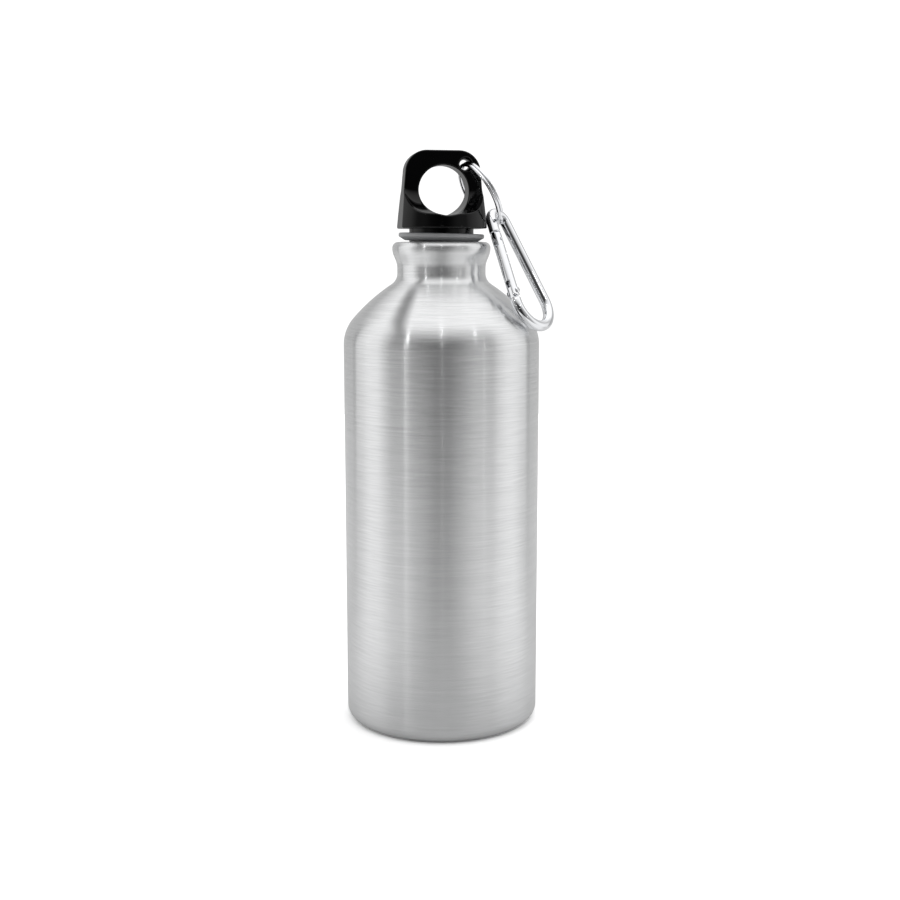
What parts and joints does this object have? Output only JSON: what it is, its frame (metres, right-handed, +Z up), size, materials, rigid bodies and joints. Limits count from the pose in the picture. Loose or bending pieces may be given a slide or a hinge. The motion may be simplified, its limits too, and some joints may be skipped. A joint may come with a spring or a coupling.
{
  "type": "aluminium sports bottle",
  "caption": "Slim brushed aluminium drinking bottle with a threaded neck, a black screw cap with a finger loop, a loose silicone seal, and a snap hook on a split ring.",
  "frame": {"origin": "on the ground plane under the foot ring, on the bottle's axis; the recessed base panel's centre is 0.9 mm above it", "axes": "+Z up the bottle's axis to the cap, -Y to the front of the cap's loop (turned 8.25 degrees towards +X), +X to the side the hook hangs on"},
  "size_m": [0.0779, 0.073, 0.214],
  "materials": {
    "brushed_aluminium": "satin, brushed round the body",
    "chrome": "mirror",
    "black_plastic": "gloss",
    "insert_plastic": "satin",
    "silicone": "satin",
    "spring_steel": "bright drawn wire"
  },
  "bodies": {
    "bottle": {"bottle_shell": "brushed_aluminium", "thread_insert": "insert_plastic"},
    "seal": {"seal_ring": "silicone"},
    "cap": {"cap_body": "black_plastic", "cap_stem": "black_plastic"},
    "ring": {"split_ring": "chrome"},
    "hook": {"hook_frame": "chrome", "gate_rivet": "chrome"},
    "gate": {"hook_gate": "chrome", "latch_pin": "chrome", "gate_spring": "spring_steel"},
    "plunger": {"gate_plunger": "spring_steel"}
  },
  "joints": [
    {"name": "cap_turn", "type": "hinge", "parent": "bottle", "child": "seal", "pos_m": [0, 0, 0.18104], "axis": [0, 0, 1], "range_deg": [-30, 900]},
    {"name": "cap_lift", "type": "slide", "parent": "seal", "child": "cap", "axis": [0, 0, 1], "range_m": [-0.0005, 0.0105]},
    {"name": "ring_swing", "type": "hinge", "parent": "cap", "child": "ring", "pos_m": [0.00831, 0.00121, 0.20914], "axis": [0.1435, -0.9897, 0], "range_deg": [0, 50]},
    {"name": "hook_swing", "type": "hinge", "parent": "ring", "child": "hook", "pos_m": [0.02105, 0, 0.18797], "axis": [0.2082, -0.9404, 0.2688], "range_deg": [0, 30]},
    {"name": "gate_swing", "type": "hinge", "parent": "hook", "child": "gate", "pos_m": [0.0259, -0.01599, 0.16303], "axis": [-0.6877, 0.5482, -0.4759], "range_deg": [0, 12], "stiffness_Nm_per_rad": 0.05, "springref_deg": -17.19},
    {"name": "plunger_slide", "type": "slide", "parent": "gate", "child": "plunger", "axis": [-0.2531, 0.4333, 0.865], "range_m": [0, 0.0004], "deforming": ["gate_spring"]}
  ],
  "couplings": [
    {"joint": "cap_lift", "follows": "cap_turn", "m_per_rad": 0.00063662},
    {"joint": "plunger_slide", "follows": "gate_swing", "m_per_rad": 0.0014}
  ]
}
